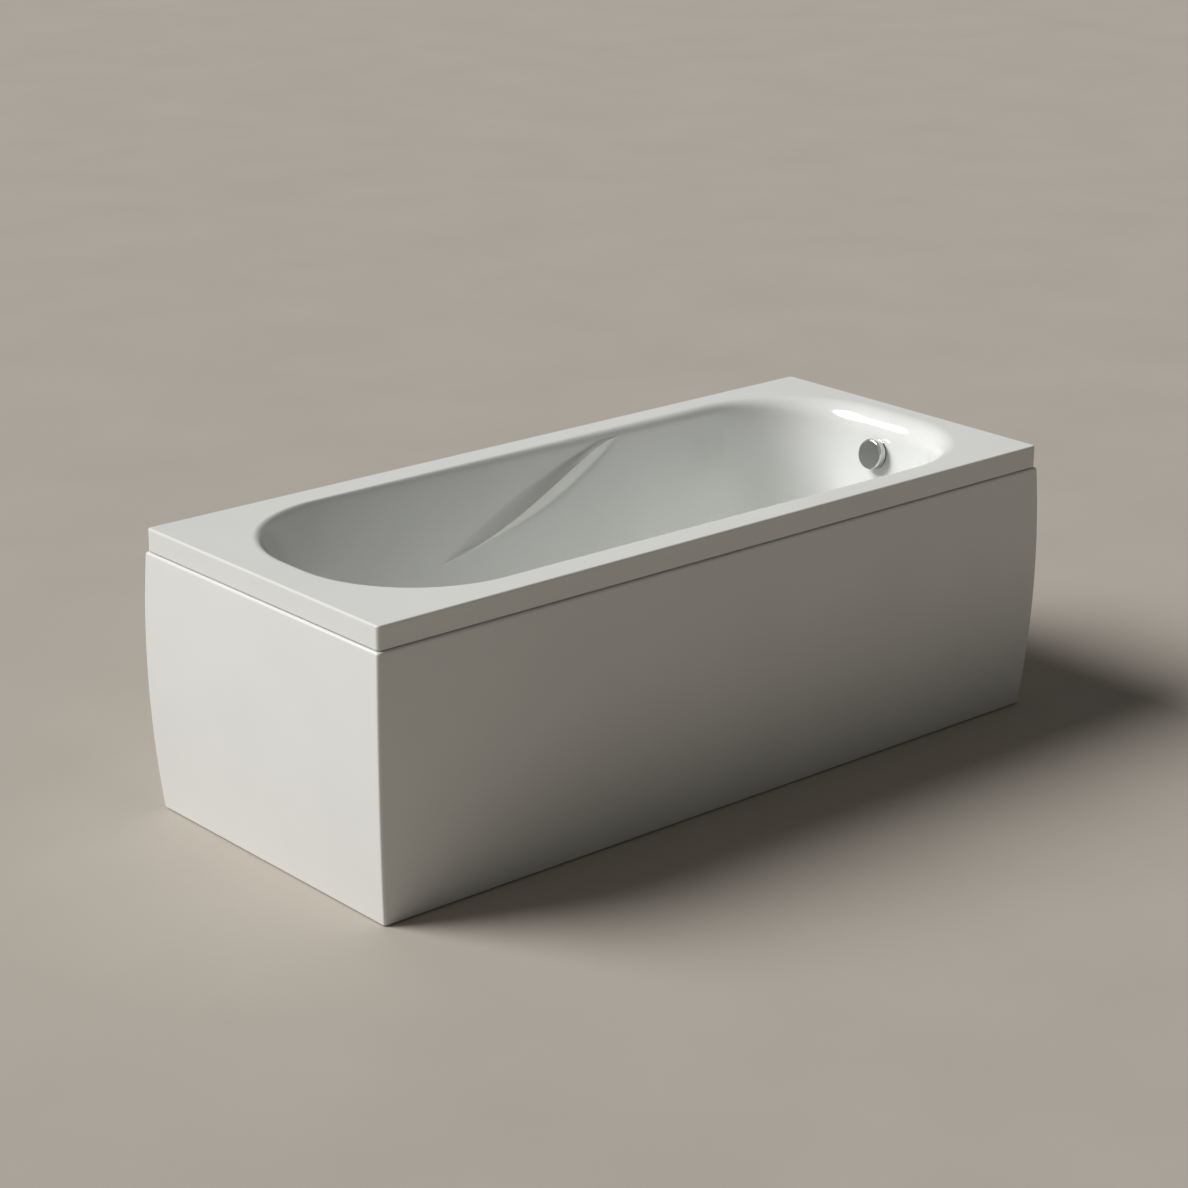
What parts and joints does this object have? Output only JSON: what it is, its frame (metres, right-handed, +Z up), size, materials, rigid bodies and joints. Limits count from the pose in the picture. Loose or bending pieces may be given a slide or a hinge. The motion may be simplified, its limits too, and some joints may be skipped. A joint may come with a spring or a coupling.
{
  "type": "bathtub",
  "caption": "Rectangular white acrylic bathtub with barrelled side panels, levelling feet, a trap and a chrome turn-knob overflow that lifts the pop-up plug",
  "frame": {"origin": "On the floor under the middle of the bathtub, at the height of the levelling feet's pads", "axes": "+X along the length to the foot end with the knob, +Y to the back, +Z up"},
  "size_m": [1.6692, 0.7192, 0.555],
  "materials": {
    "white_acrylic": "gloss",
    "chrome": "polished",
    "softwood": "planed",
    "chipboard": "sanded",
    "zinc_steel": "zinc plated",
    "black_rubber": "matt",
    "white_plastic": "satin",
    "grey_plastic": "satin",
    "black_plastic": "satin"
  },
  "bodies": {
    "bath": {"back_panel": "white_acrylic", "base_board": "chipboard", "bowden_cable": "black_plastic", "cable_glands": "black_plastic", "clip_screws": "zinc_steel", "corner_brackets": "zinc_steel", "drain_elbow": "white_plastic", "elbow_nut": "white_plastic", "foot_panel": "white_acrylic", "front_panel": "white_acrylic", "head_panel": "white_acrylic", "leg_nuts": "zinc_steel", "leg_rail_foot": "zinc_steel", "leg_rail_head": "zinc_steel", "overflow_body": "white_plastic", "overflow_pipe": "grey_plastic", "overflow_ring": "chrome", "overflow_seal": "black_rubber", "panel_clips": "zinc_steel", "panel_stays": "zinc_steel", "pipe_nuts": "white_plastic", "rail_screws": "zinc_steel", "rim_batten_back": "softwood", "rim_batten_foot": "softwood", "rim_batten_front": "softwood", "rim_batten_head": "softwood", "rocker_pin": "zinc_steel", "stay_bolts": "zinc_steel", "trap_bend": "white_plastic", "trap_nut": "white_plastic", "trap_washers": "black_rubber", "tub_shell": "white_acrylic", "waste_body": "white_plastic", "waste_flange": "chrome", "waste_seal_lower": "black_rubber", "waste_seal_upper": "black_rubber"},
    "knob": {"overflow_knob": "chrome", "knob_spindle": "zinc_steel", "cable_crank": "grey_plastic"},
    "plug": {"plug_cap": "chrome", "plug_seal": "black_rubber", "plug_stem": "zinc_steel"},
    "rocker": {"rocker_arm": "grey_plastic"},
    "leg_head_front": {"leg_stud_head_front": "zinc_steel", "leg_pad_head_front": "black_plastic"},
    "leg_head_back": {"leg_stud_head_back": "zinc_steel", "leg_pad_head_back": "black_plastic"},
    "leg_foot_front": {"leg_stud_foot_front": "zinc_steel", "leg_pad_foot_front": "black_plastic"},
    "leg_foot_back": {"leg_stud_foot_back": "zinc_steel", "leg_pad_foot_back": "black_plastic"}
  },
  "joints": [
    {"name": "knob_turn", "type": "hinge", "parent": "bath", "child": "knob", "pos_m": [0.73295, 0, 0.475], "axis": [-0.9849, 0, 0.173], "range_deg": [0, 90]},
    {"name": "rocker_turn", "type": "hinge", "parent": "bath", "child": "rocker", "pos_m": [0.527, 0, 0.098], "axis": [0, -1, 0], "range_deg": [0, 25]},
    {"name": "plug_lift", "type": "slide", "parent": "bath", "child": "plug", "axis": [0, 0, 1], "range_m": [0, 0.01]},
    {"name": "leg_head_front_screw", "type": "slide", "parent": "bath", "child": "leg_head_front", "axis": [0, 0, -1], "range_m": [0, 0.025]},
    {"name": "leg_head_back_screw", "type": "slide", "parent": "bath", "child": "leg_head_back", "axis": [0, 0, -1], "range_m": [0, 0.025]},
    {"name": "leg_foot_front_screw", "type": "slide", "parent": "bath", "child": "leg_foot_front", "axis": [0, 0, -1], "range_m": [0, 0.025]},
    {"name": "leg_foot_back_screw", "type": "slide", "parent": "bath", "child": "leg_foot_back", "axis": [0, 0, -1], "range_m": [0, 0.025]}
  ],
  "couplings": [
    {"joint": "rocker_turn", "follows": "knob_turn", "ratio": 0.27778},
    {"joint": "plug_lift", "follows": "knob_turn", "m_per_rad": 0.0063662}
  ]
}
